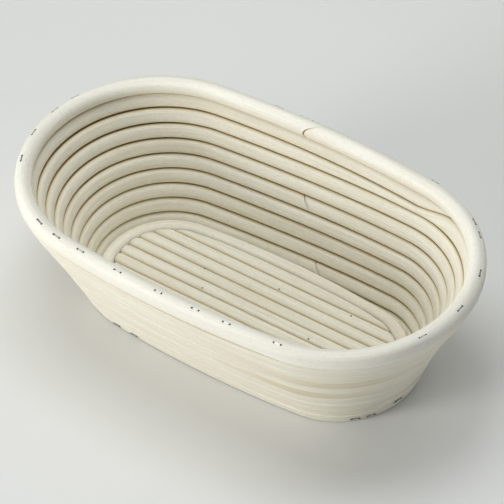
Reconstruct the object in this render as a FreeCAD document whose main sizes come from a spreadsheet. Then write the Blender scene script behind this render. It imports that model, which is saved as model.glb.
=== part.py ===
"""Banneton: an oval proofing basket wound from rattan cane.

The wall is a coil of cane that leans outwards as it rises, under a thicker round rim. The floor
is a round hoop filled with straight reeds, and both are nailed to three cross battens that the
basket stands on. The floor sits inside the last turn of the coil. Staples hold the rim to the
first turn and the last turn to the floor's hoop, and pins hold turn to turn.

Frame: the origin is on the surface the basket stands on, under its middle. +X runs along the
basket, +Y across it and +Z up. Every size is in millimetres.
"""
import FreeCAD, Part
import math
import os

PARTS_FOLDER = "parts"
VERTICAL = FreeCAD.Vector(0, 0, 1)
RAMP_SECTIONS = 8          # cane sections that shape the drop from one level to the next
PIN_MARGIN = 0.2           # radians that the pins keep away from the drops

# Alias, value, what it is. Lengths are in mm, angles in degrees, counts and shares plain.
DIMENSIONS = [
    ("junction_angle", 84.0, "ovals: direction faced where an end arc meets a side arc"),
    ("rim_half_length", 131.0, "rim: centre of the basket to the middle of the cane, lengthwise"),
    ("rim_half_width", 73.2, "rim: the same, across"),
    ("rim_radius", 4.9, "rim: radius of its round cane"),
    ("splice_gap", 0.3, "rim and wall: free space where two ends of cane meet"),
    ("rim_splice_x", -2.8, "rim: where its two ends meet"),
    ("rim_splice_slant", 30.0, "rim: angle between that splice and the basket's length"),
    ("wall_top", 73.8, "wall: height of the joint under the rim"),
    ("wall_half_length", 131.0, "wall: centre of the basket to the cane there, lengthwise"),
    ("wall_half_width", 74.0, "wall: the same, across"),
    ("turn_pitch", 8.0, "wall: height of one turn of the coil"),
    ("turn_count", 9, "wall: turns of the coil"),
    ("inset_length", 3.66, "wall: how much its half length shrinks per turn down"),
    ("inset_width", 3.35, "wall: how much its half width shrinks per turn down"),
    ("end_flare", 0.11, "wall: how much more the ends flare near the rim"),
    ("wall_lean", 23.6, "wall: how far it leans out from upright"),
    ("cane_bulge", 4.0, "wall cane: how far its round face stands in from its middle"),
    ("cane_back", 3.9, "wall cane: how far its flat face stands out from its middle"),
    ("cane_edge", 1.0, "wall cane: rounding of the edges of the flat face"),
    ("cane_gap", 0.14, "wall cane: free space between one turn and the next"),
    ("tip_angle", 56.0, "wall: direction faced where the coil starts and each drop starts"),
    ("tip_height", 1.0, "wall: height at which the taper of the cane is cut off"),
    ("splice_angle", 88.5, "wall: direction faced where two lengths of cane meet"),
    ("upper_splice_turn", 4, "wall: drops from the tip to the upper splice"),
    ("lower_splice_turn", 8, "wall: drops from the tip to the lower splice"),
    ("base_half_length", 91.5, "base hoop: centre of the basket to the cane, lengthwise"),
    ("base_half_width", 37.62, "base hoop: the same, across"),
    ("base_radius", 3.65, "base hoop: radius of its round cane"),
    ("base_height", 5.3, "base hoop: height of the middle of its cane"),
    ("reed_count", 9, "floor: straight reeds"),
    ("reed_radius", 3.72, "floor: radius of a reed"),
    ("reed_pitch", 7.52, "floor: spacing of the reeds"),
    ("reed_height", 5.35, "floor: height of the middle of a reed"),
    ("reed_end_gap", 0.6, "floor: free space between a reed's end and the base hoop"),
    ("batten_count", 3, "floor: cross battens"),
    ("batten_pitch", 40.0, "floor: spacing of the battens"),
    ("batten_width", 12.0, "floor: width of a batten"),
    ("batten_shift", 3.0, "floor: how far the battens are off the middle, lengthwise"),
    ("batten_thickness", 1.6, "floor: thickness of a batten"),
    ("batten_length", 80.0, "floor: length of a batten"),
    ("nail_radius", 0.5, "nails: radius of the shank"),
    ("nail_length", 8.4, "nails: length of the shank"),
    ("nail_head_radius", 1.1, "nails: radius of the head"),
    ("nail_head_height", 0.35, "nails: height of the head"),
    ("hole_clearance", 0.05, "fasteners: free space round a shank or leg"),
    ("staple_wire_width", 1.2, "staples: width of their flat wire"),
    ("staple_wire_depth", 0.6, "staples: thickness of their flat wire"),
    ("staple_width", 4.4, "staples: distance between the legs"),
    ("rim_staple_leg", 13.5, "rim staples: length of a leg"),
    ("rim_staple_lean", 22.0, "rim staples: how far they stand out and lean from upright"),
    ("base_staple_leg", 13.0, "base staples: length of a leg"),
    ("pin_radius", 0.5, "wall pins: radius"),
    ("pin_length", 7.0, "wall pins: length"),
    ("pins_per_turn", 6, "wall pins: how many hold one turn to the next"),
]

# Where the staples are, as shares of the way round the hoop, from its right end and
# anticlockwise seen from above. They were driven by hand, so they are not evenly spaced.
RIM_STAPLES = [
    0.001, 0.040, 0.080, 0.094, 0.146, 0.189, 0.234, 0.250, 0.262, 0.273, 0.296, 0.469,
    0.490, 0.519, 0.549, 0.623, 0.644, 0.669, 0.706, 0.745, 0.779, 0.807, 0.851, 0.962,
]
BASE_STAPLES = [0.035, 0.170, 0.260, 0.350, 0.430, 0.500, 0.570, 0.635, 0.660, 0.932, 0.948, 0.977]


def make_sheet(doc):
    """Put the driving dimensions in a spreadsheet, one alias a row."""
    sheet = doc.addObject("Spreadsheet::Sheet", "Sizes")
    for row, (alias, value, meaning) in enumerate(DIMENSIONS, start=1):
        sheet.set(f"A{row}", meaning)
        sheet.set(f"B{row}", str(value))
        sheet.setAlias(f"B{row}", alias)
    doc.recompute()
    return sheet


class Oval:
    """A four-arc oval: two tight end arcs joined by two wide side arcs, all tangent."""

    def __init__(self, half_length, half_width, junction_degrees):
        self.junction = math.radians(junction_degrees)
        reach = math.cos(self.junction) + math.sin(self.junction) - 1
        spread = (half_length - half_width) / reach
        self.end_radius = half_length - spread * math.cos(self.junction)
        self.side_radius = self.end_radius + spread
        self.end_centre = half_length - self.end_radius
        self.side_centre = self.side_radius - half_width

    def arc(self, angle):
        """Centre and radius of the arc that faces this direction."""
        turned = math.remainder(angle, 2 * math.pi)
        if abs(turned) <= self.junction:
            return FreeCAD.Vector(self.end_centre, 0, 0), self.end_radius
        if abs(turned) >= math.pi - self.junction:
            return FreeCAD.Vector(-self.end_centre, 0, 0), self.end_radius
        return FreeCAD.Vector(0, -math.copysign(self.side_centre, turned), 0), self.side_radius

    def point(self, angle):
        """The point of the oval that faces this direction."""
        centre, radius = self.arc(angle)
        return centre + outward(angle) * radius

    def facing(self, share):
        """The direction faced a share of the way round, anticlockwise from the right end."""
        quarter = self.junction * self.end_radius
        side = (math.pi / 2 - self.junction) * self.side_radius
        quarters, rest = divmod(share * 4, 1)
        from_end = rest if quarters % 2 == 0 else 1 - rest
        distance = from_end * (quarter + side)
        angle = distance / self.end_radius
        if distance > quarter:
            angle = self.junction + (distance - quarter) / self.side_radius
        if quarters % 2 == 1:
            angle = math.pi - angle
        return angle + math.pi * (quarters // 2)


def outward(angle):
    """Level unit vector in this direction."""
    return FreeCAD.Vector(math.cos(angle), math.sin(angle), 0)


class Wall:
    """The coil's geometry: where its joints run and what its cane's section is."""

    def __init__(self, sheet):
        self.sheet = sheet
        self.lean = math.radians(sheet.wall_lean)
        self.tip = math.radians(sheet.tip_angle)
        self.junction = math.radians(sheet.junction_angle)

    def oval(self, turns_down):
        """The wall's middle line, a number of turn pitches below the joint under the rim."""
        sheet = self.sheet
        flare = sheet.end_flare * turns_down * (turns_down - sheet.turn_count)
        half_length = sheet.wall_half_length - sheet.inset_length * turns_down + flare
        half_width = sheet.wall_half_width - sheet.inset_width * turns_down
        return Oval(half_length, half_width, sheet.junction_angle)

    def section(self, turns_down, angle, height):
        """Closed outline of the cane: round towards the inside, flat towards the outside."""
        sheet = self.sheet
        middle = self.oval(turns_down).point(angle)
        middle.z = sheet.wall_top - turns_down * sheet.turn_pitch
        out = outward(angle) * math.cos(self.lean) - VERTICAL * math.sin(self.lean)
        up = outward(angle) * math.sin(self.lean) + VERTICAL * math.cos(self.lean)
        half = (height / math.cos(self.lean) - sheet.cane_gap) / 2
        bulge = min(sheet.cane_bulge, half)
        edge = min(sheet.cane_edge, half / 2)
        back = sheet.cane_back
        chord = edge * (1 - math.sqrt(0.5))

        def at(outwards, upwards):
            return middle + out * outwards + up * upwards

        edges = [
            Part.Arc(at(0, half), at(-bulge, 0), at(0, -half)),
            Part.LineSegment(at(0, -half), at(back - edge, -half)),
            Part.Arc(at(back - edge, -half), at(back - chord, chord - half), at(back, edge - half)),
            Part.LineSegment(at(back, edge - half), at(back, half - edge)),
            Part.Arc(at(back, half - edge), at(back - chord, half - chord), at(back - edge, half)),
            Part.LineSegment(at(back - edge, half), at(0, half)),
        ]
        return Part.Wire([edge_line.toShape() for edge_line in edges])

    def level_run(self, turn, start, end):
        """A level stretch of one turn, as one revolved solid for each arc that it crosses."""
        turns_down = turn + 0.5
        oval = self.oval(turns_down)
        junctions = [self.junction, math.pi - self.junction,
                     math.pi + self.junction, 2 * math.pi - self.junction]
        stops = [start] + [stop for stop in junctions if start < stop < end] + [end]
        runs = []
        for first, last in zip(stops, stops[1:]):
            centre, _ = oval.arc((first + last) / 2)
            face = Part.Face(self.section(turns_down, first, self.sheet.turn_pitch))
            runs.append(face.revolve(centre, VERTICAL, math.degrees(last - first)))
        return runs

    def drop(self, turn, from_height, to_height):
        """The stretch in which the cane drops to a turn's level, from one height to another."""
        sections = []
        for step in range(RAMP_SECTIONS + 1):
            share = step / RAMP_SECTIONS
            eased = share * share * (3 - 2 * share)
            height = from_height + (to_height - from_height) * eased
            # A full cane moves down a whole pitch. A tapered one grows down from the joint
            # above it, or shrinks down to the joint below it.
            if from_height < to_height:
                turns_down = turn + height / self.sheet.turn_pitch / 2
            elif from_height > to_height:
                turns_down = turn - height / self.sheet.turn_pitch / 2
            else:
                turns_down = turn - 0.5 + eased
            angle = self.tip + (self.junction - self.tip) * share
            sections.append(self.section(turns_down, angle, height))
        return Part.makeLoft(sections, True, False)

    def length_of_cane(self, first_turn, start, last_turn, end, tapers):
        """One length of cane: level turns joined by drops, its ends tapered or cut square."""
        sheet = self.sheet
        pitch = sheet.turn_pitch
        full_turn = self.tip + 2 * math.pi
        solids = []
        if "top" in tapers:
            solids.append(self.drop(first_turn, sheet.tip_height, pitch))
        for turn in range(first_turn, last_turn + 1):
            if turn > first_turn:
                solids.append(self.drop(turn, pitch, pitch))
            run_start = start if turn == first_turn else self.junction
            run_end = end if turn == last_turn else full_turn
            solids.extend(self.level_run(turn, run_start, run_end))
        if "foot" in tapers:
            solids.append(self.drop(last_turn + 1, pitch, sheet.tip_height))
        return solids[0].multiFuse(solids[1:])


def add_shape(doc, label, shape):
    """A feature whose shape is made by code, for what no primitive or sketch can hold."""
    feature = doc.addObject("Part::Feature", label)
    feature.Label = label
    feature.Shape = shape
    feature.Placement = FreeCAD.Placement()
    return feature


def bind(feature, **expressions):
    """Bind a feature's sizes to the sheet. A double underscore stands for a dot."""
    for name, expression in expressions.items():
        feature.setExpression(name.replace("__", "."), expression)


def oval_hoop(doc, label, prefix, height_expression):
    """A round hoop along a four-arc oval, as four tori fused into one ring."""
    junction = "Sizes.junction_angle * 1 deg"
    length = f"Sizes.{prefix}_half_length"
    width = f"Sizes.{prefix}_half_width"
    spread = f"(({length} - {width}) / (cos({junction}) + sin({junction}) - 1))"
    end_radius = f"({length} - {spread} * cos({junction}))"
    side_radius = f"({end_radius} + {spread})"
    end_sweep = f"2 * {junction}"
    side_sweep = f"180 deg - 2 * {junction}"
    # Name, radius, centre along X and Y, first direction and sweep of each arc.
    arcs = [
        ("right", end_radius, f"{length} - {end_radius}", "0", f"-{junction}", end_sweep),
        ("back", side_radius, "0", f"{width} - {side_radius}", junction, side_sweep),
        ("left", end_radius, f"{end_radius} - {length}", "0", f"180 deg - {junction}", end_sweep),
        ("front", side_radius, "0", f"{side_radius} - {width}", f"180 deg + {junction}", side_sweep),
    ]
    tori = []
    for side, radius, x, y, first, sweep in arcs:
        torus = doc.addObject("Part::Torus", f"{label}_{side}")
        bind(torus, Radius1=radius, Radius2=f"Sizes.{prefix}_radius", Angle3=sweep,
             Placement__Base__x=x, Placement__Base__y=y, Placement__Base__z=height_expression,
             Placement__Rotation__Angle=first)
        tori.append(torus)
    ring = doc.addObject("Part::MultiFuse", f"{label}_ring")
    ring.Shapes = tori
    return ring


def cut(doc, label, base, tool):
    """Base minus tool, as the sub-part of this name."""
    result = doc.addObject("Part::Cut", label)
    result.Label = label
    result.Base = base
    result.Tool = tool
    return result


def staple(sheet, leg):
    """A flat-wire staple: crown along X with its top at the origin, legs down -Z."""
    depth = sheet.staple_wire_depth
    breadth = sheet.staple_wire_width
    length = sheet.staple_width + depth
    crown = Part.makeBox(length, breadth, depth,
                         FreeCAD.Vector(-length / 2, -breadth / 2, -depth))
    return crown.multiFuse(staple_legs(sheet, leg, 0))


def staple_legs(sheet, leg, clearance):
    """The two legs of a staple, or with some clearance the slots they stand in."""
    thick = sheet.staple_wire_depth + 2 * clearance
    breadth = sheet.staple_wire_width + 2 * clearance
    drop = leg + clearance
    return [Part.makeBox(thick, breadth, drop,
                         FreeCAD.Vector(side * sheet.staple_width / 2 - thick / 2,
                                        -breadth / 2, -drop))
            for side in (-1, 1)]


def placed(shapes, placement):
    """Copies of shapes, moved to a placement."""
    return [shape.transformed(placement.toMatrix()) for shape in shapes]


def staple_placement(oval, share, away, height, lean_degrees):
    """Where a staple sits on a hoop: X along the cane, legs leaning in from upright."""
    angle = oval.facing(share)
    lean = math.radians(lean_degrees)
    spot = oval.point(angle) + outward(angle) * away * math.sin(lean)
    spot.z = height + away * math.cos(lean)
    along = FreeCAD.Rotation(VERTICAL, math.degrees(angle) + 90)
    tilt = FreeCAD.Rotation(FreeCAD.Vector(1, 0, 0), lean_degrees)
    return FreeCAD.Placement(spot, along * tilt)


def make_staples(sheet, oval, cane_radius, height, lean_degrees, leg, shares):
    """Staples along a hoop and the slots of their legs, both as lists of solids."""
    away = cane_radius + sheet.hole_clearance + sheet.staple_wire_depth
    body = staple(sheet, leg)
    slots = staple_legs(sheet, leg, sheet.hole_clearance)
    staples = []
    drilled = []
    for share in shares:
        spot = staple_placement(oval, share, away, height, lean_degrees)
        staples.extend(placed([body], spot))
        drilled.extend(placed(slots, spot))
    return staples, drilled


def make_rim_staples(sheet):
    """Staples down through the rim into the first turn of the wall."""
    oval = Oval(sheet.rim_half_length, sheet.rim_half_width, sheet.junction_angle)
    return make_staples(sheet, oval, sheet.rim_radius, sheet.wall_top + sheet.rim_radius,
                        sheet.rim_staple_lean, sheet.rim_staple_leg, RIM_STAPLES)


def make_base_staples(sheet, wall):
    """Staples driven level through the last turn of the wall into the base hoop."""
    turns_down = sheet.turn_count - 0.5
    height = sheet.wall_top - turns_down * sheet.turn_pitch
    # The crown is upright and the wall's back leans, so the crown's lower edge sets its place.
    back = (sheet.cane_back / math.cos(wall.lean)
            + sheet.staple_wire_width / 2 * math.tan(wall.lean))
    return make_staples(sheet, wall.oval(turns_down), back, height, 90,
                        sheet.base_staple_leg, BASE_STAPLES)


def make_pins(sheet, wall):
    """Pins across the joints of the coil, and their holes."""
    up = sheet.pin_length / 2
    pins = []
    drilled = []
    for joint in range(1, sheet.turn_count):
        oval = wall.oval(joint)
        for index in range(sheet.pins_per_turn):
            angle = oval.facing((index + 0.5 + joint % 2 / 2) / sheet.pins_per_turn)
            if wall.tip - PIN_MARGIN < angle < wall.junction + PIN_MARGIN:
                continue
            axis = outward(angle) * math.sin(wall.lean) + VERTICAL * math.cos(wall.lean)
            middle = oval.point(angle)
            middle.z = sheet.wall_top - joint * sheet.turn_pitch
            grown = up + sheet.hole_clearance
            pins.append(Part.makeCylinder(sheet.pin_radius, 2 * up, middle - axis * up, axis))
            drilled.append(Part.makeCylinder(sheet.pin_radius + sheet.hole_clearance, 2 * grown,
                                             middle - axis * grown, axis))
    return pins, drilled


def make_wall(doc, sheet, wall, drilled):
    """The three lengths of cane that the coil is wound from, with their holes."""
    splice = math.radians(sheet.splice_angle)
    gap = sheet.splice_gap / wall.oval(sheet.upper_splice_turn).side_radius
    full_turn = wall.tip + 2 * math.pi
    upper = sheet.upper_splice_turn
    lower = sheet.lower_splice_turn
    lengths = {
        "coil_upper": wall.length_of_cane(0, wall.junction, upper, splice, ["top"]),
        "coil_middle": wall.length_of_cane(upper, splice + gap, lower, splice, []),
        "coil_lower": wall.length_of_cane(lower, splice + gap, sheet.turn_count - 1, full_turn,
                                          ["foot"]),
    }
    return [add_shape(doc, name, shape.cut(drilled)) for name, shape in lengths.items()]


def make_rim(doc, drilled):
    """The rim hoop, cut through by its splice and drilled for the staples."""
    ring = oval_hoop(doc, "rim", "rim", "Sizes.wall_top + Sizes.rim_radius")
    slot = doc.addObject("Part::Box", "rim_splice_slot")
    # The slot reaches two cane widths from the splice each way, so it leaves the cane at its ends.
    reach = "4 * Sizes.rim_radius"
    bind(slot, Length=f"2 * {reach}", Width="Sizes.splice_gap", Height=reach,
         Placement__Base__x="Sizes.rim_splice_x"
                            f" - {reach} * cos(Sizes.rim_splice_slant * 1 deg)",
         Placement__Base__y="Sizes.rim_half_width"
                            f" - {reach} * sin(Sizes.rim_splice_slant * 1 deg)",
         Placement__Base__z="Sizes.wall_top - Sizes.rim_radius",
         Placement__Rotation__Angle="Sizes.rim_splice_slant * 1 deg")
    open_ring = cut(doc, "rim_open", ring, slot)
    return cut(doc, "rim_hoop", open_ring, drilled)


def floor_space(sheet):
    """The upright space inside the base hoop, less the gap at the reeds' ends."""
    inset = sheet.base_radius + sheet.reed_end_gap
    oval = Oval(sheet.base_half_length - inset, sheet.base_half_width - inset,
                sheet.junction_angle)
    junction = oval.junction
    stops = [-junction, junction, math.pi - junction, math.pi + junction, 2 * math.pi - junction]
    arcs = [Part.Arc(oval.point(first), oval.point((first + last) / 2), oval.point(last))
            for first, last in zip(stops, stops[1:])]
    outline = Part.Wire([arc.toShape() for arc in arcs])
    return Part.Face(outline).extrude(VERTICAL * 2 * sheet.reed_height)


def make_reeds(doc, sheet, space, drilled):
    """Straight reeds side by side, cut off along the inside of the base hoop."""
    reeds = []
    for index in range(int(sheet.reed_count)):
        name = f"floor_reed_{index + 1:02d}"
        across = f"({index} - (Sizes.reed_count - 1) / 2) * Sizes.reed_pitch"
        cane = doc.addObject("Part::Cylinder", f"{name}_cane")
        bind(cane, Radius="Sizes.reed_radius", Height="2 * Sizes.base_half_length",
             Placement__Base__x="-Sizes.base_half_length", Placement__Base__y=across,
             Placement__Base__z="Sizes.reed_height")
        cane.Placement.Rotation = FreeCAD.Rotation(FreeCAD.Vector(0, 1, 0), 90)
        trimmed = doc.addObject("Part::Common", f"{name}_trimmed")
        trimmed.Base = cane
        trimmed.Tool = space
        reeds.append(cut(doc, name, trimmed, drilled))
    return reeds


def make_battens(doc, sheet, drilled):
    """Flat battens across the underside of the floor."""
    battens = []
    for index in range(int(sheet.batten_count)):
        along = f"(({index} - (Sizes.batten_count - 1) / 2) * Sizes.batten_pitch)"
        name = f"cross_batten_{index + 1}"
        strip = doc.addObject("Part::Box", f"{name}_strip")
        bind(strip, Length="Sizes.batten_width", Width="Sizes.batten_length",
             Height="Sizes.batten_thickness",
             Placement__Base__x=f"{along} + Sizes.batten_shift - Sizes.batten_width / 2",
             Placement__Base__y="-Sizes.batten_length / 2")
        battens.append(cut(doc, name, strip, drilled))
    return battens


def make_nails(sheet):
    """Nails up through the battens into the hoop and every other reed, and their holes."""
    hoop = Oval(sheet.base_half_length, sheet.base_half_width, sheet.junction_angle)
    nails = []
    drilled = []
    for batten in range(int(sheet.batten_count)):
        along = (batten - (sheet.batten_count - 1) / 2) * sheet.batten_pitch + sheet.batten_shift
        hoop_across = math.sqrt(hoop.side_radius ** 2 - along ** 2) - hoop.side_centre
        rows = [(reed - (sheet.reed_count - 1) / 2) * sheet.reed_pitch
                for reed in range(batten % 2, int(sheet.reed_count), 2)]
        for across in rows + [-hoop_across, hoop_across]:
            foot = FreeCAD.Vector(along, across, 0)
            nails.append(nail(foot, sheet, 0))
            drilled.append(nail(foot, sheet, sheet.hole_clearance))
    return nails, drilled


def nail(foot, sheet, clearance):
    """An upright nail with its head down and flush, or with some clearance its hole."""
    height = sheet.nail_head_height
    head = Part.makeCylinder(sheet.nail_head_radius + clearance, height + clearance, foot)
    shank = Part.makeCylinder(sheet.nail_radius + clearance, sheet.nail_length + clearance,
                              foot + VERTICAL * height)
    return head.fuse(shank)


def check(doc, subparts):
    """Stop if any object failed to compute or any sub-part isn't a good solid."""
    for item in doc.Objects:
        if "Invalid" in item.State or "Error" in item.State:
            raise RuntimeError(f"{item.Label} did not compute: {item.State}")
    for subpart in subparts:
        shape = subpart.Shape
        if shape.isNull() or not shape.isValid() or not shape.Solids:
            raise RuntimeError(f"{subpart.Label} is not a valid solid")


def main():
    doc = FreeCAD.newDocument("Banneton")
    sheet = make_sheet(doc)
    wall = Wall(sheet)
    rim_staples, rim_holes = make_rim_staples(sheet)
    base_staples, base_holes = make_base_staples(sheet, wall)
    pins, pin_holes = make_pins(sheet, wall)
    nails, nail_holes = make_nails(sheet)

    rim_drill = add_shape(doc, "rim_drill", Part.makeCompound(rim_holes))
    base_drill = add_shape(doc, "base_drill", Part.makeCompound(base_holes + nail_holes))
    nail_drill = add_shape(doc, "nail_drill", Part.makeCompound(nail_holes))

    subparts = [make_rim(doc, rim_drill)]
    subparts += make_wall(doc, sheet, wall, rim_holes + pin_holes + base_holes)
    base = oval_hoop(doc, "base", "base", "Sizes.base_height")
    subparts.append(cut(doc, "base_hoop", base, base_drill))
    space = add_shape(doc, "floor_space", floor_space(sheet))
    subparts += make_reeds(doc, sheet, space, nail_drill)
    subparts += make_battens(doc, sheet, nail_drill)
    groups = {"rim_staples": rim_staples, "base_staples": base_staples, "wall_pins": pins,
              "batten_nails": nails}
    for name, solids in groups.items():
        subparts.append(add_shape(doc, name, Part.makeCompound(solids)))

    doc.recompute()
    check(doc, subparts)
    os.makedirs(PARTS_FOLDER, exist_ok=True)
    for subpart in subparts:
        subpart.Shape.exportStep(os.path.join(PARTS_FOLDER, f"{subpart.Label}.step"))
    print(f"{len(subparts)} sub-parts written")


main()
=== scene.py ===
"""Looks of an oval banneton, a proofing basket wound from rattan cane.

The basket's cane is modelled length by length: the rim, the three lengths that the wall is wound
from, the base hoop and the floor's straight reeds. Everything is in metres, in the CAD frame.
"""
import math

import bpy
import numpy as np
from mathutils import Matrix, Vector


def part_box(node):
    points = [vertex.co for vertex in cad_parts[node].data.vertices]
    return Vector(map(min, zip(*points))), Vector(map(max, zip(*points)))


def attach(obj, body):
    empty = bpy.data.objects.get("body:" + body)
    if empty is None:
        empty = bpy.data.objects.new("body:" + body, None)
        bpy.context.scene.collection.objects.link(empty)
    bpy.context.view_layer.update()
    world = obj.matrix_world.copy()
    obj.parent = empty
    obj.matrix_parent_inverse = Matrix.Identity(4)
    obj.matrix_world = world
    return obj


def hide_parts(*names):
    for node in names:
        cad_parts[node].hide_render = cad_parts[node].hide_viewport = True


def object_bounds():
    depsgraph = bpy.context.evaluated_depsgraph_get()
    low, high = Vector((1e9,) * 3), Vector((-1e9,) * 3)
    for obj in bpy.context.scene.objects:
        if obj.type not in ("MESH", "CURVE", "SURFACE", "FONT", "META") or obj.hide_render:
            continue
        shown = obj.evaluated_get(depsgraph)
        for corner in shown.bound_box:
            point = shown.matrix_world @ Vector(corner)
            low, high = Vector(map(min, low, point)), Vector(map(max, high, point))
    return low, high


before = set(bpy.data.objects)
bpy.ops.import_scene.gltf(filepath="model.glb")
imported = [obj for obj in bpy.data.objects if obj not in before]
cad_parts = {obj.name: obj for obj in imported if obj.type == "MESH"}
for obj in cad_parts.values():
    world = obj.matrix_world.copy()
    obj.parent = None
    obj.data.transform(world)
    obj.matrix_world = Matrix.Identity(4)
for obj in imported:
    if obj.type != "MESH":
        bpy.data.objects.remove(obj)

CAD_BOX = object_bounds()
MM = 0.001

# The camera: where it looks, from which direction, how far away and through which lens.
TARGET = Vector((14.7, -16.5, 73.8)) * MM
AZIMUTH = math.radians(37.62)
ELEVATION = math.radians(45.06)
ROLL = math.radians(-3.37)
DISTANCE = 1.834
LENS = 250.0
SENSOR_WIDTH = 36.0
VIEW_DEPTH = 20.0

# The stage. Each light has a name, a place, a width, a power in watts and a colour.
STAGE_REACH = 3.0                      # from the middle of the stage's floor to its edges
LIGHTS = [
    ("low_left", (-0.8, -1.35, 0.4), 0.6, 15.0, (1.0, 1.0, 0.985)),
    ("front", (-0.3, -1.5, 0.9), 0.9, 3.0, (1.0, 1.0, 0.99)),
    ("overhead", (-0.2, 0.1, 0.9), 0.6, 3.5, (0.98, 1.0, 0.99)),
    ("overhead_back", (0.1, 0.5, 1.0), 0.8, 2.2, (0.98, 1.0, 0.99)),
    ("right", (1.3, -0.8, 1.0), 0.9, 3.0, (0.97, 1.0, 1.0)),
]
SKY_COLOUR = (0.95, 0.98, 1.0, 1.0)
SKY_STRENGTH = 0.17

# Driving sizes of the cane. Those down to TIP_ANGLE are the same as the CAD model's.
JUNCTION = math.radians(84.0)          # direction faced where an end arc meets a side arc
WALL_HALF_LENGTH = 131.0 * MM          # at the joint under the rim, to the cane's middle
WALL_HALF_WIDTH = 74.0 * MM
INSET_LENGTH = 3.66 * MM               # shrinkage of the half length per turn down
INSET_WIDTH = 3.35 * MM
END_FLARE = 0.11 * MM                  # how much more the ends flare near the rim
TURN_PITCH = 8.0 * MM
TURN_COUNT = 9
WALL_LEAN = math.radians(23.6)
CANE_BULGE = 4.0 * MM                  # round face, in from the cane's middle
CANE_BACK = 3.9 * MM                   # flat face, out from it
TIP_ANGLE = math.radians(56.0)         # direction faced where the coil starts
TIP_LENGTH = 0.055                     # turns in which the coil's tip tapers out to a full cane
DROP_START = -0.15                     # turns from over the tip: where each lower turn sinks
DROP_LENGTH = 0.39                     # turns that it takes to sink by one pitch
TIP_CUT = TIP_LENGTH / 5               # turns of the tip that are left out, so that it is blunt
FOOT_END = TURN_COUNT + DROP_START + DROP_LENGTH * 0.8   # turns to the coil's lower end
TURN_CLEARANCE = 0.06 * MM             # how far each turn stays back from the joint's middle
RIM_SPLICE_X = -2.8 * MM
RIM_SPLICE_SLANT = math.radians(30.0)  # angle between that splice and the basket's length
RIM_SPLICE_OPEN = 0.7 * MM
UPPER_SPLICE_TURN = 4                  # whole turns above each splice between two lengths
UPPER_SPLICE_X = -1.7 * MM
LOWER_SPLICE_TURN = 8
LOWER_SPLICE_X = 13.7 * MM
SPLICE_GAP = 0.3 * MM
SPLICE_SLANT = 0.85                    # length along the cane of a wall splice's cut, in pitches
SPLICE_REACH = 12 * MM                 # length of cane whose sections lean towards a cut
SPLICE_OUTER_SHARE = 0.1               # share of a hoop's gap that is left on the outside
BASE_SPLICE_SHARE = 0.73               # share of the way round where the base hoop's ends meet
BASE_SPLICE_SLANT = 0.8                # how far that cut runs along for each step outwards
BROWN_BANDS = (2.80, 4.78)             # turns from the tip to the middles of two browned bands
BAND_REACH = 0.07
HANDLED_ALL_OVER = 0.4                 # browning of the whole outside, and more in the bands
HANDLED_IN_BANDS = 0.8
TIP_BULGE = 0.6                        # share of the bulge that the cane keeps at its tip
FOOT_BULGE = 0.95                      # the same at its lower end, against the floor's hoop

REED_COUNT = 9
REED_PITCH = 7.52 * MM
REED_END_GAP = 0.5 * MM
REED_BEVEL = 1.2 * MM
REED_MARGIN = 0.05 * MM                # how far inside the hoop a reed's side line stays
REED_FULLNESS = 0.985                  # mean thickness of a reed, as a share of the CAD one's
REED_END_FULLNESS = 0.86               # what the bevel leaves of that at a reed's ends

# Squareness of the sections: the inner half, the outer upper quarter and the outer lower one.
WALL_POWERS = (2.7, 14.0, 14.0)
RIM_POWERS = (2.0, 2.1, 4.0)
BASE_POWERS = (2.2, 4.0, 2.0)
REED_POWER = 3.4

# Unevenness: its wavelength and its size. HOOP_WAVE and REED_WAVE have their size in radii.
WALL_THICKNESS_WAVE = (90 * MM, 0.04 * MM)
WALL_PROUD_WAVE = (160 * MM, 0.22 * MM)
HOOP_WAVE = (120 * MM, 0.012)
REED_WAVE = (70 * MM, 0.012)
REED_DRIFT_WAVE = (200 * MM, 0.12 * MM)
WAVE_COUNT = 4                         # sines added up in each wave
WAVE_SPREAD = (0.6, 1.7)               # their wavelengths, in shares of the wave's own
WALL_SEED = 11                         # seeds of the random draws
RIM_SEED = 3
BASE_SEED = 5
FLOOR_SEED = 17

# Soil and painted shade in the joints: where on a section they start and where they are full, and how
# much they are.
WALL_JOINT = (-0.95, -0.30)
WALL_JOINT_END = 0.3                   # the outside of the wall has neither soil nor painted shade from here
WALL_JOINT_POWER = 1.5
RIM_JOINT = (0.5, 0.75)
RIM_SOIL_AND_SHADE = 0.7
RIM_CUT_EDGE = 0.2                     # how far out the painted shade on the rim's cut ends reaches, inside its splice
REED_JOINT = (0.8, 1.0)
REED_SOIL_AND_SHADE = 0.5
HANDLED_FROM = 0.5                     # how far out on the section the browning starts

BATTEN_COUNT = 3
STAPLE_LEG = 6 * MM
STAPLE_WIDTH = 4.1 * MM
WIRE_WIDTH = 1.0 * MM
WIRE_THICKNESS = 0.6 * MM
STAPLE_LEAN = math.radians(27.0)       # how far the rim's staples stand out from its top
STAPLE_LEAN_SWING = math.radians(17.0)  # how much more at the back, and less at the front
RIM_PIT_RADIUS = 0.62 * MM
BASE_PIT_RADIUS = 0.85 * MM
PIT_RISE = 0.08 * MM
PIT_SIDES = 12
PIT_DEPTH = 3                          # depth of a dent's middle, in depths of its edge
RIM_STAPLE_LEVEL = 0.99                # how far out the rim's crowns lie, in radii of the rim
BASE_STAPLE_RISE = 0.6 * MM            # how far the base's crowns stand off the flat face
BEND_STEPS = 4                         # flats in each rounded corner of a staple
NAIL_POINT_RADIUS = 0.55 * MM
NAIL_POINT_RISE = 0.1 * MM
NAIL_POINT_SINK = 0.05 * MM
NAIL_REACH = 0.95                      # furthest that a nail point is off a reed's middle, in radii

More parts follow.
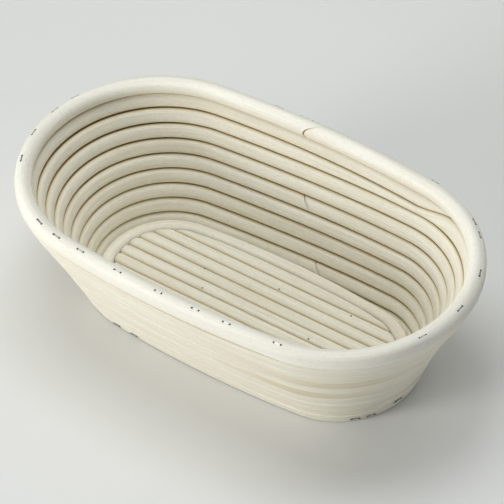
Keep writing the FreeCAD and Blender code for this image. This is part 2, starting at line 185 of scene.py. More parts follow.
# Where the staples are, as shares of the way round, the base's with their turns below the rim.
# The nail points are X and Y in mm.
RIM_STAPLES = [
    0.001, 0.040, 0.080, 0.094, 0.146, 0.189, 0.234, 0.250, 0.262, 0.273, 0.296, 0.469,
    0.490, 0.519, 0.549, 0.623, 0.644, 0.669, 0.706, 0.745, 0.779, 0.807, 0.851, 0.962,
]
BASE_STAPLES = [
    (0.035, 8.5), (0.170, 8.5), (0.260, 8.5), (0.350, 8.5), (0.430, 8.5), (0.500, 8.5),
    (0.570, 8.5), (0.635, 8.5), (0.660, 8.5), (0.932, 8.5), (0.948, 8.5), (0.977, 8.03),
]
NAIL_POINTS = [(-31.7, -2.3), (-39.6, 10.4), (4.0, 19.9), (38.5, -2.3), (48.3, 24.0)]

RING_STEP = 2.0 * MM                   # spacing of the sections along a cane
END_EDGE = 0.3 * MM                    # depth of the edge at a cut end, painted with shade on the rim
SECTION_POINTS = 32
GRAIN_SEEDS = 97                       # how many places in the grain's pattern a cane may have

# Colours of the cane. The stains are stops of a colour ramp.
CANE_STAINS = [(0.30, (0.82, 0.78, 0.645)), (0.55, (0.88, 0.86, 0.755)), (0.80, (0.86, 0.80, 0.67))]
CANE_STREAK = (0.70, 0.61, 0.46, 1.0)
CANE_FIBRE = (0.60, 0.54, 0.42, 1.0)
CANE_BROWNED = (0.63, 0.53, 0.35, 1.0)
CANE_PALED = (0.90, 0.895, 0.86, 1.0)
CANE_FLECK = (0.60, 0.55, 0.43, 1.0)
# The warm tint is painted shade towards the joints, and the dark brown is the joints' soil with
# painted shadow in them.
CANE_WARM_SHADE = (0.76, 0.64, 0.40, 1.0)
CANE_SOIL_AND_SHADOW = (0.24, 0.14, 0.045, 1.0)
RIM_PALENESS = 0.3


def box_sizes(node):
    """Middle and half sizes of a CAD node's box."""
    low, high = (Vector(corner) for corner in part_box(node))
    return (low + high) / 2, (high - low) / 2


RIM_MIDDLE, RIM_HALF = box_sizes("rim_hoop")
BASE_MIDDLE, BASE_HALF = box_sizes("base_hoop")
WALL_TOP = RIM_MIDDLE.z - RIM_HALF.z


# ---------------------------------------------------------------- ovals

def oval_arcs(half_length, half_width):
    """End radius and side radius of the four-arc oval of this size."""
    reach = math.cos(JUNCTION) + math.sin(JUNCTION) - 1
    spread = (half_length - half_width) / reach
    end_radius = half_length - spread * math.cos(JUNCTION)
    return end_radius, end_radius + spread


def oval_length(half_length, half_width):
    """Length of a four-arc oval."""
    end_radius, side_radius = oval_arcs(half_length, half_width)
    return 4 * (JUNCTION * end_radius + (math.pi / 2 - JUNCTION) * side_radius)


def oval_points(half_length, half_width, share):
    """X, Y and direction faced, a share of the way round from the right end, anticlockwise."""
    end_radius, side_radius = oval_arcs(half_length, half_width)
    quarter_length = oval_length(half_length, half_width) / 4
    quarter, rest = np.divmod(share * 4, 1)
    odd = quarter % 2 == 1
    distance = np.where(odd, 1 - rest, rest) * quarter_length
    end_arc = JUNCTION * end_radius
    angle = np.where(distance < end_arc, distance / end_radius,
                     JUNCTION + (distance - end_arc) / side_radius)
    on_end = angle < JUNCTION
    x = np.where(on_end, half_length - end_radius + end_radius * np.cos(angle),
                 side_radius * np.cos(angle))
    y = np.where(on_end, end_radius * np.sin(angle),
                 half_width - side_radius + side_radius * np.sin(angle))
    turned = quarter % 4
    x_sign = np.where((turned == 1) | (turned == 2), -1.0, 1.0)
    y_sign = np.where(turned >= 2, -1.0, 1.0)
    facing = np.arctan2(y_sign * np.sin(angle), x_sign * np.cos(angle))
    return x * x_sign, y * y_sign, facing


def share_facing(half_length, half_width, angle):
    """Share of the way round at which the oval faces an angle of its first quarter."""
    end_radius, _ = oval_arcs(half_length, half_width)
    return angle * end_radius / oval_length(half_length, half_width)


# ---------------------------------------------------------------- cane meshes

def wander(rng, along, wavelength, size):
    """A smooth random wave along a cane: a few sines of random phase and pitch."""
    total = np.zeros_like(along)
    for _ in range(WAVE_COUNT):
        pitch = wavelength * rng.uniform(*WAVE_SPREAD)
        total = total + np.sin(2 * math.pi * (along / pitch + rng.uniform()))
    return total * size / WAVE_COUNT


def climb(value, low, high):
    """A straight rise from 0 to 1 as value goes from low to high."""
    return np.clip((value - low) / (high - low), 0, 1)


def near_ends(place, start, end, reach):
    """How near a place is to a cane's start and to its end: 1 at the end, 0 beyond reach."""
    near_start = np.clip(1 - (place - start) / reach, 0, 1)
    near_end = np.clip(1 - (end - place) / reach, 0, 1)
    return near_start, near_end


def section_shape(points, inner_power, upper_power, lower_power):
    """Unit outline of a cane as (outwards, upwards). Power 2 is round, more is squarer.

    The inner half has one power, and the outer half's upper and lower quarters have theirs.
    """
    turn = 2 * math.pi * (np.arange(points) + 0.5) / points
    side = np.cos(turn)
    rise = np.sin(turn)
    power = np.where(side < 0, inner_power, np.where(rise > 0, upper_power, lower_power))
    outwards = np.sign(side) * np.abs(side) ** (2 / power)
    upwards = np.sign(rise) * np.abs(rise) ** (2 / power)
    return outwards, upwards


def new_piece(name, points, faces):
    """A mesh object of these points and faces, in the scene."""
    mesh = bpy.data.meshes.new(name)
    mesh.from_pydata(points, [], faces)
    piece = bpy.data.objects.new(name, mesh)
    bpy.context.scene.collection.objects.link(piece)
    return piece


def cane_mesh(name, rings, along):
    """A cane through rings of points, with flat ends. Its vertices know their place in the grain.

    The grain is how far along the cane a vertex is, how far round it, and the cane's own number.
    """
    count, points, _ = rings.shape
    faces = []
    for ring in range(count - 1):
        for point in range(points):
            aside = (point + 1) % points
            faces.append((ring * points + point, ring * points + aside,
                          (ring + 1) * points + aside, (ring + 1) * points + point))
    faces.append(tuple(range(points))[::-1])
    faces.append(tuple((count - 1) * points + point for point in range(points)))
    piece = new_piece(name, rings.reshape(-1, 3).tolist(), faces)
    mesh = piece.data
    mesh.polygons.foreach_set("use_smooth", [len(face) == 4 for face in faces])
    gaps = np.linalg.norm(np.roll(rings, -1, axis=1) - rings, axis=2)
    around = np.concatenate([np.zeros((count, 1)), np.cumsum(gaps, axis=1)[:, :-1]], axis=1)
    seed = (sum(map(ord, name)) % GRAIN_SEEDS) / GRAIN_SEEDS
    grain = np.stack([np.broadcast_to(along[:, None], around.shape), around,
                      np.full_like(around, seed)], axis=2)
    layer = mesh.attributes.new("grain", "FLOAT_VECTOR", "POINT")
    layer.data.foreach_set("vector", grain.reshape(-1).astype(np.float32))
    mesh.update()
    return piece


def set_shade(piece, soil_and_shade, handled):
    """Store how soiled and painted with shade each vertex is, from 0 to 1, and how browned by
    handling.
    """
    for name, values in (("soil_and_shade", soil_and_shade), ("handled", handled)):
        layer = piece.data.attributes.new(name, "FLOAT", "POINT")
        layer.data.foreach_set("value", values.reshape(-1).astype(np.float32))


def settle(piece, material, slot, *nodes):
    """Give a piece its material and its body, and hide the CAD nodes that it stands for. The slot is
    not used.
    """
    piece.data.materials.append(material)
    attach(piece, "root")
    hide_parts(*nodes)


# ---------------------------------------------------------------- the wall's coil

def joint_height(level):
    """Height of the joint under a number of turns of the coil."""
    return WALL_TOP - TURN_PITCH * np.clip(level, 0, TURN_COUNT)


def ease(share):
    """A smooth step from 0 to 1 as share goes from 0 to 1."""
    share = np.clip(share, 0, 1)
    return share * share * (3 - 2 * share)


def lower_joint(turns):
    """Height of the joint under the cane, a number of turns from its tip."""
    turn = np.floor(turns - DROP_START)
    first = joint_height(ease(turns / TIP_LENGTH))
    later = joint_height(turn + ease((turns - DROP_START - turn) / DROP_LENGTH))
    return np.where(turn < 1, first, later)


def wall_oval(height):
    """Half length and half width of the wall's middle line at a height."""
    level = (WALL_TOP - height) / TURN_PITCH
    flare = END_FLARE * level * (level - TURN_COUNT)
    return WALL_HALF_LENGTH - INSET_LENGTH * level + flare, WALL_HALF_WIDTH - INSET_WIDTH * level


def coil_share(turns, half_length, half_width):
    """Share of the way round the oval, a number of turns from the tip."""
    return share_facing(half_length, half_width, TIP_ANGLE) + turns


def coil_length(name, start, end, slants, rng):
    """One length of the wall's cane, from one number of turns to another."""
    mean_length = oval_length(*wall_oval(lower_joint(np.array((start + end) / 2))))
    count = int((end - start) * mean_length / RING_STEP)
    turns = np.linspace(start, end, count)[:, None]
    along = (turns[:, 0] - start) * mean_length
    outwards, upwards = section_shape(SECTION_POINTS, *WALL_POWERS)
    # Near a splice the sections lean, so that the cane ends in a slanted cut.
    near_start, near_end = near_ends(turns, start, end, SPLICE_REACH / mean_length)
    lean = slants[0] * near_start + slants[1] * near_end
    turns = turns + lean * SPLICE_SLANT * upwards * TURN_PITCH / 2 / mean_length
    top = lower_joint(turns - 1)
    bottom = lower_joint(turns)
    middle = (top + bottom) / 2
    half_length, half_width = wall_oval(middle)
    x, y, facing = oval_points(half_length, half_width,
                               coil_share(turns, half_length, half_width))
    half = (top - bottom) / math.cos(WALL_LEAN) / 2 - TURN_CLEARANCE
    half = half + wander(rng, along, *WALL_THICKNESS_WAVE)[:, None]
    proud = wander(rng, along, *WALL_PROUD_WAVE)[:, None]
    # Where a cane is thinner, at the tip and the foot, it also bulges less.
    fullness = np.clip(half / (TURN_PITCH / 2), 0, 1)
    thinnest = np.where(turns < 1, TIP_BULGE, FOOT_BULGE)
    bulge = CANE_BULGE * (thinnest + (1 - thinnest) * fullness)
    out = np.where(outwards < 0, outwards * bulge, outwards * CANE_BACK) + proud
    up = upwards * half
    level = out * math.cos(WALL_LEAN) + up * math.sin(WALL_LEAN)
    rise = up * math.cos(WALL_LEAN) - out * math.sin(WALL_LEAN)
    # Right under the rim the outer edge is packed up against it.
    under_rim = 1 - ease((WALL_TOP - top) / MM)
    corner = np.clip(outwards, 0, 1) * np.clip(upwards, 0, 1) ** 4
    rise = rise + under_rim * corner * CANE_BACK * math.sin(WALL_LEAN)
    rings = np.stack([x + np.cos(facing) * level, y + np.sin(facing) * level,
                      middle + rise], axis=2)
    piece = cane_mesh(name, rings, along)
    # Painted shade: the inner face is warmed more and more towards each joint, and darkened at the
    # joint itself, partly by soil.
    in_joint = climb(outwards, *WALL_JOINT) ** WALL_JOINT_POWER * (outwards < WALL_JOINT_END)
    set_shade(piece, in_joint * np.ones_like(turns), handled_share(turns, outwards))
    return piece


def handled_share(turns, outwards):
    """How browned the coil's outside is: a little everywhere, more in two bands by one corner."""
    bands = sum(np.exp(-((turns - turn) / BAND_REACH) ** 2) for turn in BROWN_BANDS)
    return np.where(outwards > HANDLED_FROM, HANDLED_ALL_OVER + HANDLED_IN_BANDS * bands, 0.0)


def splice_turns(turn, x):
    """Turns from the tip to a splice on the back wall, at this X."""
    height = WALL_TOP - (turn + 0.5) * TURN_PITCH
    half_length, half_width = wall_oval(height)
    length = oval_length(half_length, half_width)
    quarter = 0.25 - x / length
    return turn + quarter - share_facing(half_length, half_width, TIP_ANGLE)


def make_wall(material):
    """The three lengths of cane that the wall is wound from. They meet in slanted splices."""
    upper = splice_turns(UPPER_SPLICE_TURN, UPPER_SPLICE_X)
    lower = splice_turns(LOWER_SPLICE_TURN, LOWER_SPLICE_X)
    gap = SPLICE_GAP / oval_length(*wall_oval(WALL_TOP / 2)) / 2
    lengths = [
        ("wall_cane_upper", TIP_CUT, upper - gap, (0, 1), "coil_upper"),
        ("wall_cane_middle", upper + gap, lower - gap, (1, 1), "coil_middle"),
        ("wall_cane_lower", lower + gap, FOOT_END, (1, 0), "coil_lower"),
    ]
    rng = np.random.default_rng(WALL_SEED)
    for name, start, end, slants, node in lengths:
        piece = coil_length(name, start, end, slants, rng)
        settle(piece, material, "cane", node)


# ---------------------------------------------------------------- hoops and reeds

def hoop_rings(half_length, half_width, radius, height, start, end, powers, slant, gap, rng):
    """Rings of a level hoop from one share of the way round to another."""
    length = oval_length(half_length, half_width)
    count = int((end - start) * length / RING_STEP)
    share = np.linspace(start, end, count)
    edge = END_EDGE / length
    share = np.sort(np.append(share, [start + edge, end - edge]))[:, None]
    along = share[:, 0] * length
    outwards, upwards = section_shape(SECTION_POINTS, *powers)
    near_start, near_end = near_ends(share, start, end, SPLICE_REACH / length)
    share = share + (near_start + near_end) * slant * outwards * radius / length
    # The two ends nearly touch on the outside and stand a little apart on the inside.
    openness = SPLICE_OUTER_SHARE + (1 - SPLICE_OUTER_SHARE) * np.clip(-outwards, 0, 1)
    share = share + (near_start - near_end) * gap * openness / length / 2
    x, y, facing = oval_points(half_length, half_width, share)
    size = radius * (1 - HOOP_WAVE[1] + wander(rng, along, *HOOP_WAVE)[:, None])
    out = outwards * size
    return np.stack([x + np.cos(facing) * out, y + np.sin(facing) * out,
                     height + upwards * size * np.ones_like(share)], axis=2), along


def rim_soil_and_shade(rings, powers):
    """Soil and painted contact shadow along the rim's joint with the wall inside, and painted shade
    on the inner half of its cut ends.
    """
    outwards, upwards = section_shape(SECTION_POINTS, *powers)
    in_joint = RIM_SOIL_AND_SHADE * climb(-upwards, *RIM_JOINT) * (outwards < 0)
    soil_and_shade = in_joint * np.ones(rings.shape[:2])
    # The cut ends are painted dark, for the shade inside the splice.
    soil_and_shade[[0, -1]] = np.clip(RIM_CUT_EDGE - outwards, 0, 1)
    return soil_and_shade


def make_rim(material):
    """The thick round cane on top of the wall, its ends meeting in a slanted splice."""
    radius = RIM_HALF.z
    half_length = RIM_HALF.x - radius
    half_width = RIM_HALF.y - radius
    start = 0.25 - RIM_SPLICE_X / oval_length(half_length, half_width)
    slant = -1 / math.tan(RIM_SPLICE_SLANT)
    rings, along = hoop_rings(half_length, half_width, radius, RIM_MIDDLE.z, start, start + 1,
                              RIM_POWERS, slant, RIM_SPLICE_OPEN, np.random.default_rng(RIM_SEED))
    piece = cane_mesh("rim_cane", rings, along)
    set_shade(piece, rim_soil_and_shade(rings, RIM_POWERS), np.zeros(rings.shape[:2]))
    settle(piece, material, "cane", "rim_hoop")


def make_base(material):
    """The cane that frames the floor."""
    radius = BASE_HALF.z
    rings, along = hoop_rings(BASE_HALF.x - radius, BASE_HALF.y - radius, radius, BASE_MIDDLE.z,
                              BASE_SPLICE_SHARE, BASE_SPLICE_SHARE + 1, BASE_POWERS,
                              BASE_SPLICE_SLANT, SPLICE_GAP, np.random.default_rng(BASE_SEED))
    piece = cane_mesh("base_cane", rings, along)
    clean = np.zeros(rings.shape[:2])
    set_shade(piece, clean, clean)
    settle(piece, material, "cane", "base_hoop")


def reach_inside(half_length, half_width, y):
    """Half length of the straight line that crosses an oval at this Y."""
    end_radius, side_radius = oval_arcs(half_length, half_width)
    across = np.minimum(np.abs(y), half_width - REED_MARGIN)
    on_end = across < end_radius * math.sin(JUNCTION)
    rise = np.clip(end_radius ** 2 - across ** 2, 0, None)
    at_end = half_length - end_radius + np.sqrt(rise)
    at_side = np.sqrt(side_radius ** 2 - (across + side_radius - half_width) ** 2)
    return np.where(on_end, at_end, at_side)


def make_reed(node, material, rng):
    """One straight floor reed, a little uneven, cut off along the inside of the hoop."""
    low, high = (Vector(corner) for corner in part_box(node))
    radius = (high.z - low.z) / 2
    height = (low.z + high.z) / 2
    number = int(node[-2:])
    across = (number - (REED_COUNT + 1) / 2) * REED_PITCH
    count = int((high.x - low.x) / RING_STEP)
    share = np.linspace(-1, 1, count)[:, None]
    along = (share[:, 0] + 1) * high.x
    outwards, upwards = section_shape(SECTION_POINTS, REED_POWER, REED_POWER, REED_POWER)
    # The cut leaves a small bevel round each end.
    bevel = np.sqrt(np.clip((1 - np.abs(share)) * high.x / REED_BEVEL, 0, 1))
    thickness = REED_FULLNESS + wander(rng, along, *REED_WAVE)[:, None]
    size = radius * thickness * (REED_END_FULLNESS + (1 - REED_END_FULLNESS) * bevel)
    drift = wander(rng, along, *REED_DRIFT_WAVE)[:, None]
    y = np.clip(across + drift - outwards * size, low.y, high.y)
    inset = BASE_HALF.z + REED_END_GAP
    reach = reach_inside(BASE_HALF.x - BASE_HALF.z - inset, BASE_HALF.y - BASE_HALF.z - inset, y)
    rings = np.stack([share * reach, y, height + upwards * size], axis=2)
    piece = cane_mesh(node + "_cane", rings, along)
    # Painted shade: each reed is warmed towards its joints with its neighbours and darkened a little
    # there, partly by soil.
    in_joint = REED_SOIL_AND_SHADE * climb(np.abs(outwards), *REED_JOINT)
    set_shade(piece, in_joint * np.ones(rings.shape[:2]), np.zeros(rings.shape[:2]))
    settle(piece, material, "reed", node)


def make_floor(material):
    """The straight reeds that fill the hoop."""
    rng = np.random.default_rng(FLOOR_SEED)
    for number in range(1, REED_COUNT + 1):
        make_reed(f"floor_reed_{number:02d}", material, rng)


# ---------------------------------------------------------------- staples and nails

def staple_mesh(leg):
    """Points and faces of one staple: flat wire, crown along X at the origin, legs down -Z."""
    half = STAPLE_WIDTH / 2
    bend = WIRE_THICKNESS
    turns = [step * math.pi / 2 / BEND_STEPS for step in range(BEND_STEPS + 1)]
    path = [(-half, -leg, -1.0, 0.0)]
    path += [(-half + bend * (1 - math.cos(turn)), bend * (math.sin(turn) - 1),
              -math.cos(turn), math.sin(turn)) for turn in turns]
    path += [(half - bend * (1 - math.cos(turn)), bend * (math.sin(turn) - 1),
              math.cos(turn), math.sin(turn)) for turn in reversed(turns)]
    path.append((half, -leg, 1.0, 0.0))
    # The wire's section has clipped corners. It is in widths across and thicknesses through.
    section = [(-0.5, -0.3), (-0.5, 0.3), (-0.3, 0.5), (0.3, 0.5),
               (0.5, 0.3), (0.5, -0.3), (0.3, -0.5), (-0.3, -0.5)]
    points = []
    for x, z, normal_x, normal_z in path:
        for across, thick in section:
            depth = (thick - 0.5) * WIRE_THICKNESS
            points.append((x + normal_x * depth, across * WIRE_WIDTH, z + normal_z * depth))
    size = len(section)
    faces = [(ring * size + point, ring * size + (point + 1) % size,
              (ring + 1) * size + (point + 1) % size, (ring + 1) * size + point)
             for ring in range(len(path) - 1) for point in range(size)]
    faces.append(tuple(range(size))[::-1])
    faces.append(tuple((len(path) - 1) * size + point for point in range(size)))
    return points, faces


def pit_mesh(x, radius, rise, sink):
    """Points and faces of a small lens at X, which stands for the dark dent round a leg, its shade
    painted on.
    """
    turns = [2 * math.pi * side / PIT_SIDES for side in range(PIT_SIDES)]
    points = [(x + radius * math.cos(turn), radius * math.sin(turn), -sink) for turn in turns]
    points += [(x, 0.0, rise), (x, 0.0, -sink * PIT_DEPTH)]
    faces = []
    for side in range(PIT_SIDES):
        beyond = (side + 1) % PIT_SIDES
        faces.append((side, beyond, PIT_SIDES))
        faces.append((beyond, side, PIT_SIDES + 1))
    return points, faces


def add_shape(points, faces, shape, place):
    """Add a copy of a shape's points and faces to the lists, moved to a place."""
    shape_points, shape_faces = shape
    first = len(points)
    points += [tuple(place @ Vector(point)) for point in shape_points]
    faces += [tuple(first + index for index in face) for face in shape_faces]


def make_staples(name, node, places, pit_radius, wire, pit_shade):
    """All staples of one group, with lenses of painted shade for the dents that their legs pressed
    into the cane.
    """
    points = []
    faces = []
    slots = []
    half = STAPLE_WIDTH / 2
    shapes = [(staple_mesh(STAPLE_LEG), 0)]
    shapes += [(pit_mesh(side * half, pit_radius, PIT_RISE, PIT_RISE), 1) for side in (-1, 1)]
    for place in places:
        for shape, slot in shapes:
            add_shape(points, faces, shape, place)
            slots += [slot] * len(shape[1])
    piece = new_piece(name, points, faces)
    piece.data.polygons.foreach_set("material_index", slots)
    piece.data.materials.append(wire)
    piece.data.materials.append(pit_shade)
    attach(piece, "root")
    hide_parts(node)


def staple_place(half_length, half_width, share, away, height, lean):
    """Where a staple sits: X along the cane, legs inwards from a crown that leans by an angle."""
    x, y, facing = (float(value) for value in oval_points(half_length, half_width,
                                                          np.array(share)))
    outward = Vector((math.cos(facing), math.sin(facing), 0))
    up = Vector((0, 0, 1))
    normal = outward * math.sin(lean) + up * math.cos(lean)
    along = up.cross(outward)
    axes = Matrix((along, normal.cross(along), normal)).transposed().to_4x4()
    spot = Vector((x, y, height)) + normal * away
    return Matrix.Translation(spot) @ axes


def make_rim_staples(wire, pit_shade):
    """Staples down through the rim. The ones at the back lean further out."""
    radius = RIM_HALF.z
    places = []
    for share in RIM_STAPLES:
        lean = STAPLE_LEAN + STAPLE_LEAN_SWING * math.sin(2 * math.pi * share)
        places.append(staple_place(RIM_HALF.x - radius, RIM_HALF.y - radius, share,
                                   radius * RIM_STAPLE_LEVEL + PIT_RISE, RIM_MIDDLE.z, lean))
    make_staples("rim_staple_wires", "rim_staples", places, RIM_PIT_RADIUS, wire, pit_shade)


def make_base_staples(wire, pit_shade):
    """Staples through the last turn of the wall into the floor's hoop."""
    places = []
    for share, level in BASE_STAPLES:
        height = WALL_TOP - level * TURN_PITCH
        places.append(staple_place(*wall_oval(height), share, CANE_BACK + BASE_STAPLE_RISE,
                                   height, math.pi / 2 + WALL_LEAN))
    make_staples("base_staple_wires", "base_staples", places, BASE_PIT_RADIUS, wire, pit_shade)


def make_nail_points(material):
    """Tips of the nails that came right through the reeds."""
    points = []
    faces = []
    low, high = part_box("floor_reed_01")
    top = high[2]
    radius = (high[2] - low[2]) / 2
    # Each tip is a lens in the dark dent material: painted shade and soil round the nail.
    tip = pit_mesh(0.0, NAIL_POINT_RADIUS, NAIL_POINT_RISE, NAIL_POINT_SINK)
    for x, y in NAIL_POINTS:
        # How far the reed's top has fallen here, off its middle.
        from_middle = abs((y * MM / REED_PITCH + 0.5) % 1 - 0.5) * REED_PITCH / radius
        across = min(from_middle, NAIL_REACH)
        fall = radius * (1 - (1 - across ** REED_POWER) ** (1 / REED_POWER))
        add_shape(points, faces, tip, Matrix.Translation((x * MM, y * MM, top - fall)))
    piece = new_piece("nail_points", points, faces)
    piece.data.materials.append(material)
    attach(piece, "root")


# ---------------------------------------------------------------- materials

class Nodes:
    """Short calls that add shader nodes to one material and link them."""

    def __init__(self, name):
        self.material = bpy.data.materials.new(name)
        self.material.use_nodes = True
        self.tree = self.material.node_tree
        self.shader = self.tree.nodes["Principled BSDF"]

    def feed(self, socket, value):
        """Link an output to an input, or set the input to a plain value."""
        if isinstance(value, bpy.types.NodeSocket):
            self.tree.links.new(value, socket)
        else:
            socket.default_value = value

    def give(self, name, value):
        """Feed an input of the material's own shader."""
        self.feed(self.shader.inputs[name], value)

    def add(self, kind, settings=None, **inputs):
        """Add a node, with its settings and its inputs by name."""
        node = self.tree.nodes.new(kind)
        for key, value in (settings or {}).items():
            setattr(node, key, value)
        for key, value in inputs.items():
            self.feed(node.inputs[key], value)
        return node

    def attribute(self, name, output):
        """What the mesh stores under a name."""
        return self.add("ShaderNodeAttribute", {"attribute_name": name}).outputs[output]

    def place(self):
        """Where a point is, in the object's own axes."""
        return self.add("ShaderNodeTexCoord").outputs["Object"]

    def noise(self, vector, scale, detail, roughness):
        """A noise pattern."""
        node = self.add("ShaderNodeTexNoise", Vector=vector, Scale=scale, Detail=detail,
                        Roughness=roughness)
        return node.outputs["Fac"]

    def stretched(self, vector, scales, detail, roughness):
        """A noise pattern with its own scale along each axis."""
        node = self.add("ShaderNodeMapping", Vector=vector, Scale=scales)
        return self.noise(node.outputs["Vector"], 1.0, detail, roughness)

    def ramp(self, factor, stops):
        """Colours between stops, each a position and a colour."""
        node = self.add("ShaderNodeValToRGB", Fac=factor)
        elements = node.color_ramp.elements
        while len(elements) < len(stops):
            elements.new(0.5)
        for element, (position, colour) in zip(elements, stops):
            element.position = position
            element.color = (*colour, 1.0)
        return node.outputs["Color"]

    def mix(self, factor, first, second):
        """The first colour turned into the second by a factor."""
        node = self.add("ShaderNodeMix", {"data_type": "RGBA"})
        self.feed(node.inputs["Factor"], factor)
        self.feed(node.inputs[6], first)
        self.feed(node.inputs[7], second)
        return node.outputs[2]

    def math(self, operation, first, second, clamp=False):
        """One step of arithmetic, clamped to between 0 and 1 if asked."""
        node = self.add("ShaderNodeMath", {"operation": operation, "use_clamp": clamp})
        self.feed(node.inputs[0], first)
        self.feed(node.inputs[1], second)
        return node.outputs[0]

    def above(self, value, start, gain):
        """What of a value is above a start, times a gain."""
        return self.math("MULTIPLY", self.math("SUBTRACT", value, start, True), gain)

    def linear(self, value, gain, start):
        """A value times a gain, plus a start."""
        return self.math("ADD", self.math("MULTIPLY", value, gain), start)

    def bump(self, height, strength, distance):
        """Give the shader a bumpy surface."""
        node = self.add("ShaderNodeBump", Strength=strength, Distance=distance, Height=height)
        self.give("Normal", node.outputs["Normal"])


def cane_material(name, paleness):
    """Peeled rattan: cream, with fine fibres along the cane, slow stains, and joints darkened by soil
    and painted shade.

    Paleness, from 0 to 1, turns it towards a plainer off-white.
    """
    nodes = Nodes(name)
    grain = nodes.attribute("grain", "Vector")
    soil_and_shade = nodes.attribute("soil_and_shade", "Fac")
    handled = nodes.attribute("handled", "Fac")
    fibres = nodes.stretched(grain, (45.0, 2600.0, 40.0), 3.0, 0.6)
    streaks = nodes.stretched(grain, (14.0, 620.0, 23.0), 2.0, 0.5)
    stains = nodes.stretched(grain, (9.0, 90.0, 61.0), 3.0, 0.6)
    bands = nodes.stretched(grain, (7.0, 260.0, 31.0), 2.0, 0.5)
    flecks = nodes.stretched(grain, (330.0, 1500.0, 70.0), 2.0, 0.6)
    colour = nodes.ramp(stains, CANE_STAINS)
    colour = nodes.mix(nodes.above(streaks, 0.45, 1.6), colour, CANE_STREAK)
    colour = nodes.mix(nodes.above(fibres, 0.5, 1.1), colour, CANE_FIBRE)
    worn = nodes.math("ADD", nodes.above(bands, 0.50, 3.0), nodes.math("MULTIPLY", handled, 0.3))
    colour = nodes.mix(nodes.math("MULTIPLY", worn, handled, True), colour, CANE_BROWNED)
    colour = nodes.mix(paleness, colour, CANE_PALED)
    colour = nodes.mix(nodes.above(flecks, 0.5, 1.3), colour, CANE_FLECK)
    # Painted shade towards the joints: first a warm tint, then dark brown for their soil and shadow.
    colour = nodes.mix(nodes.math("MULTIPLY", soil_and_shade, 1.6, True), colour, CANE_WARM_SHADE)
    colour = nodes.mix(nodes.above(soil_and_shade, 0.4, 1.6), colour, CANE_SOIL_AND_SHADOW)
    nodes.give("Base Color", colour)
    nodes.give("Roughness", nodes.linear(fibres, 0.25, 0.45))
    nodes.give("Specular IOR Level", 0.35)
    nodes.bump(nodes.math("ADD", fibres, nodes.math("MULTIPLY", streaks, 1.5)), 0.35, 0.00012)
    return nodes.material


def wire_material():
    """Galvanised wire: bright grey with a fine mottle."""
    nodes = Nodes("galvanised_wire")
    mottle = nodes.noise(nodes.place(), 1800.0, 3.0, 0.6)
    colour = nodes.ramp(mottle, [(0.35, (0.26, 0.26, 0.25)), (0.65, (0.60, 0.60, 0.58))])
    nodes.give("Base Color", colour)
    nodes.give("Roughness", nodes.linear(mottle, 0.2, 0.2))
    nodes.give("Metallic", 0.9)
    return nodes.material


def dent_shade_material():
    """Painted shade and soil of the dent round a staple's leg or a nail."""
    nodes = Nodes("dent_soil_and_shade")
    grime = nodes.noise(nodes.place(), 2500.0, 2.0, 0.6)
    colour = nodes.ramp(grime, [(0.3, (0.012, 0.010, 0.008)), (0.7, (0.05, 0.042, 0.03))])
    nodes.give("Base Color", colour)
    nodes.give("Roughness", nodes.linear(grime, 0.3, 0.6))
    return nodes.material


def batten_material():
    """Plain softwood strip, with growth lines along it."""
    nodes = Nodes("batten_wood")
    place = nodes.place()
    lines = nodes.stretched(place, (900.0, 25.0, 900.0), 3.0, 0.6)
    shade = nodes.stretched(place, (60.0, 12.0, 60.0), 2.0, 0.5)
    wood = nodes.ramp(lines, [(0.35, (0.55, 0.42, 0.26)), (0.65, (0.72, 0.60, 0.42))])
    colour = nodes.mix(nodes.math("MULTIPLY", shade, 0.5), wood, (0.62, 0.50, 0.34, 1.0))
    nodes.give("Base Color", colour)
    nodes.give("Roughness", nodes.linear(lines, 0.2, 0.6))
    nodes.bump(lines, 0.4, 0.0001)
    return nodes.material


def floor_material():
    """The plain pale surface that the basket stands on."""
    nodes = Nodes("pale_floor")
    nodes.give("Base Color", (0.80, 0.80, 0.785, 1.0))
    nodes.give("Roughness", 0.9)
    nodes.give("Specular IOR Level", 0.1)
    return nodes.material


# ---------------------------------------------------------------- scene

def make_stage():
    """Floor, lights and world."""
    corners = [(x * STAGE_REACH, y * STAGE_REACH, 0) for x, y in ((-1, -1), (1, -1), (1, 1), (-1, 1))]
    floor = new_piece("stage_floor", corners, [(0, 1, 2, 3)])
    floor.location.z = CAD_BOX[0][2]
    floor.data.materials.append(floor_material())
    for light in LIGHTS:
        add_light(*light)
    world = bpy.data.worlds.new("studio")
    world.use_nodes = True
    background = world.node_tree.nodes["Background"]
    background.inputs["Color"].default_value = SKY_COLOUR
    background.inputs["Strength"].default_value = SKY_STRENGTH
    bpy.context.scene.world = world


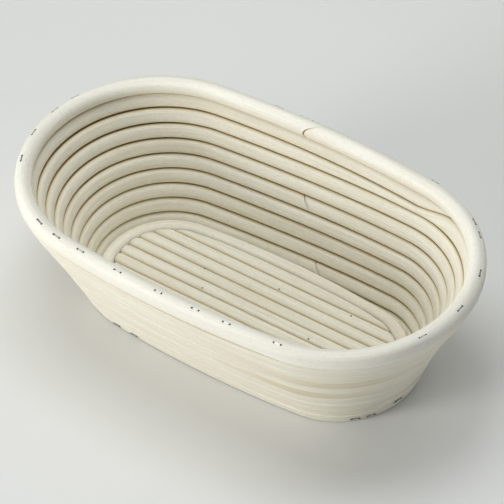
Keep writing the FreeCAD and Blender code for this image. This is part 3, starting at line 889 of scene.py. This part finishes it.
def add_light(name, spot, size, power, colour):
    """A large soft area light that points at the basket."""
    light = bpy.data.lights.new(name, "AREA")
    light.shape = "DISK"
    light.size = size
    light.energy = power
    light.color = colour
    lamp = bpy.data.objects.new(name, light)
    lamp.location = spot
    lamp.rotation_euler = (TARGET - Vector(spot)).to_track_quat("-Z", "Y").to_euler()
    bpy.context.scene.collection.objects.link(lamp)


def make_camera():
    """A long lens from the front right, well above the rim."""
    away = Vector((math.sin(AZIMUTH) * math.cos(ELEVATION),
                   -math.cos(AZIMUTH) * math.cos(ELEVATION), math.sin(ELEVATION)))
    right = Vector((math.cos(AZIMUTH), math.sin(AZIMUTH), 0))
    up = away.cross(right)
    turned_right = right * math.cos(ROLL) + up * math.sin(ROLL)
    turned_up = up * math.cos(ROLL) - right * math.sin(ROLL)
    data = bpy.data.cameras.new("camera")
    data.lens = LENS
    data.sensor_width = SENSOR_WIDTH
    data.clip_end = VIEW_DEPTH
    camera = bpy.data.objects.new("camera", data)
    axes = Matrix((turned_right, turned_up, away)).transposed().to_4x4()
    camera.matrix_world = Matrix.Translation(TARGET + away * DISTANCE) @ axes
    bpy.context.scene.collection.objects.link(camera)
    bpy.context.scene.camera = camera


def dress_node(name, material):
    """Show a CAD node as it is, with a material."""
    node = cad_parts[name]
    node.data.materials.clear()
    node.data.materials.append(material)


def main():
    """Camera, materials, pieces and stage."""
    make_camera()
    bpy.context.scene.view_settings.view_transform = "Standard"
    cane = cane_material("wall_rattan", 0.0)
    rim = cane_material("rim_rattan", RIM_PALENESS)
    reed = cane_material("floor_rattan", 0.0)
    wire = wire_material()
    dent_shade = dent_shade_material()
    batten = batten_material()
    make_rim(rim)
    make_wall(cane)
    make_base(cane)
    make_floor(reed)
    make_rim_staples(wire, dent_shade)
    make_base_staples(wire, dent_shade)
    make_nail_points(dent_shade)
    dress_node("wall_pins", wire)
    dress_node("batten_nails", wire)
    for number in range(1, BATTEN_COUNT + 1):
        dress_node(f"cross_batten_{number}", batten)
    make_stage()


main()
